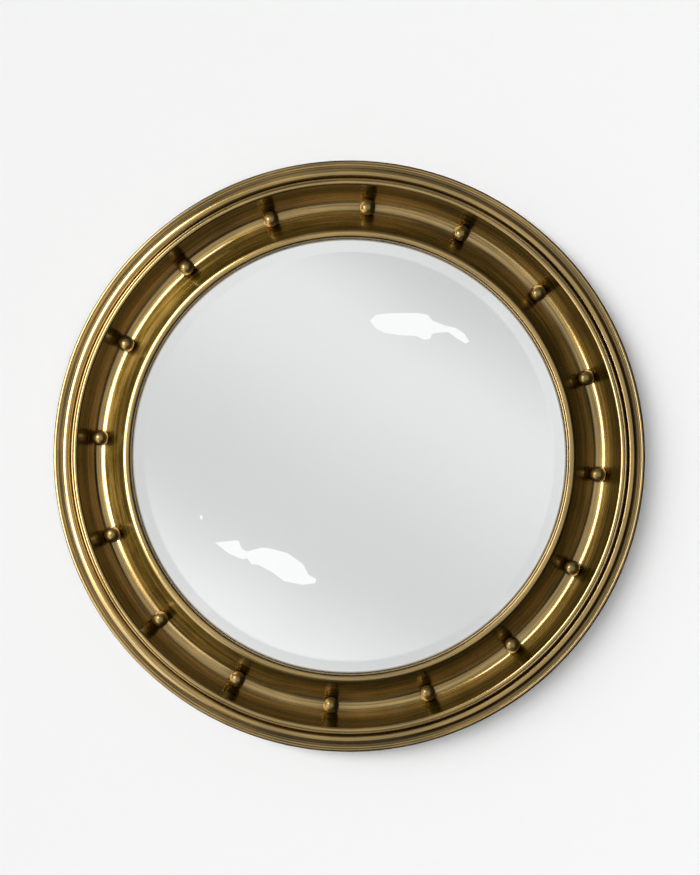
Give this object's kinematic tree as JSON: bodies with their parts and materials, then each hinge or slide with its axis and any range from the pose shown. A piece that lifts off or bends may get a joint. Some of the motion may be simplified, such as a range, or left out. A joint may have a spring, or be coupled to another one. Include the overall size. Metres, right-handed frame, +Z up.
{
  "type": "convex wall mirror",
  "caption": "Round convex wall mirror with a bevelled glass in a deep moulded brass frame, a ring of brass balls set in its cove, and two swinging D rings behind to hang it by.",
  "frame": {"origin": "in the plane of the wall, on the axis through the centre of the mirror", "axes": "+Z is up the wall, +X is to the right as one looks into the mirror, and +Y points into the wall, so the mirror faces -Y"},
  "size_m": [0.6, 0.0552, 0.6],
  "materials": {
    "frame_brass": "spun sheet brass, antiqued dark in the recesses, polished on the beads and lacquered",
    "ball_brass": "turned brass, antiqued and satin polished",
    "fixing_brass": "plain machined brass",
    "bracket_brass": "folded strip, dull, soldered",
    "glass": "clear, polished, with a wide ground bevel",
    "silvering": "silvered, with grey backing paint behind",
    "gasket": "matt black strip",
    "foam": "closed-cell foam, dark grey",
    "board": "fibreboard, brown, unpainted",
    "screw_steel": "zinc plated",
    "hanger_steel": "brass-plated steel",
    "felt": "dark brown felt"
  },
  "bodies": {
    "mirror": {"outer_moulding": "frame_brass", "cove_ring": "frame_brass", "sight_bezel": "frame_brass", "ball_01": "ball_brass", "ball_02": "ball_brass", "ball_03": "ball_brass", "ball_04": "ball_brass", "ball_05": "ball_brass", "ball_06": "ball_brass", "ball_07": "ball_brass", "ball_08": "ball_brass", "ball_09": "ball_brass", "ball_10": "ball_brass", "ball_11": "ball_brass", "ball_12": "ball_brass", "ball_13": "ball_brass", "ball_14": "ball_brass", "ball_15": "ball_brass", "ball_16": "ball_brass", "ball_washers": "fixing_brass", "ball_nuts": "fixing_brass", "mirror_glass": "glass", "mirror_silvering": "silvering", "glass_gasket": "gasket", "glass_spacer": "foam", "back_board": "board", "board_brackets": "bracket_brass", "board_screws": "screw_steel", "hanger_strap_left": "hanger_steel", "hanger_strap_right": "hanger_steel", "hanger_screws": "screw_steel", "wall_pad_01": "felt", "wall_pad_02": "felt", "wall_pad_03": "felt", "wall_pad_04": "felt"},
    "ring_left": {"hanger_ring_left": "hanger_steel"},
    "ring_right": {"hanger_ring_right": "hanger_steel"}
  },
  "joints": [
    {"name": "left_ring_hinge", "type": "hinge", "parent": "mirror", "child": "ring_left", "pos_m": [-0.15, -0.0046, 0.17], "axis": [1, 0, 0], "range_deg": [0, 180]},
    {"name": "right_ring_hinge", "type": "hinge", "parent": "mirror", "child": "ring_right", "pos_m": [0.15, -0.0046, 0.17], "axis": [1, 0, 0], "range_deg": [0, 180]}
  ]
}
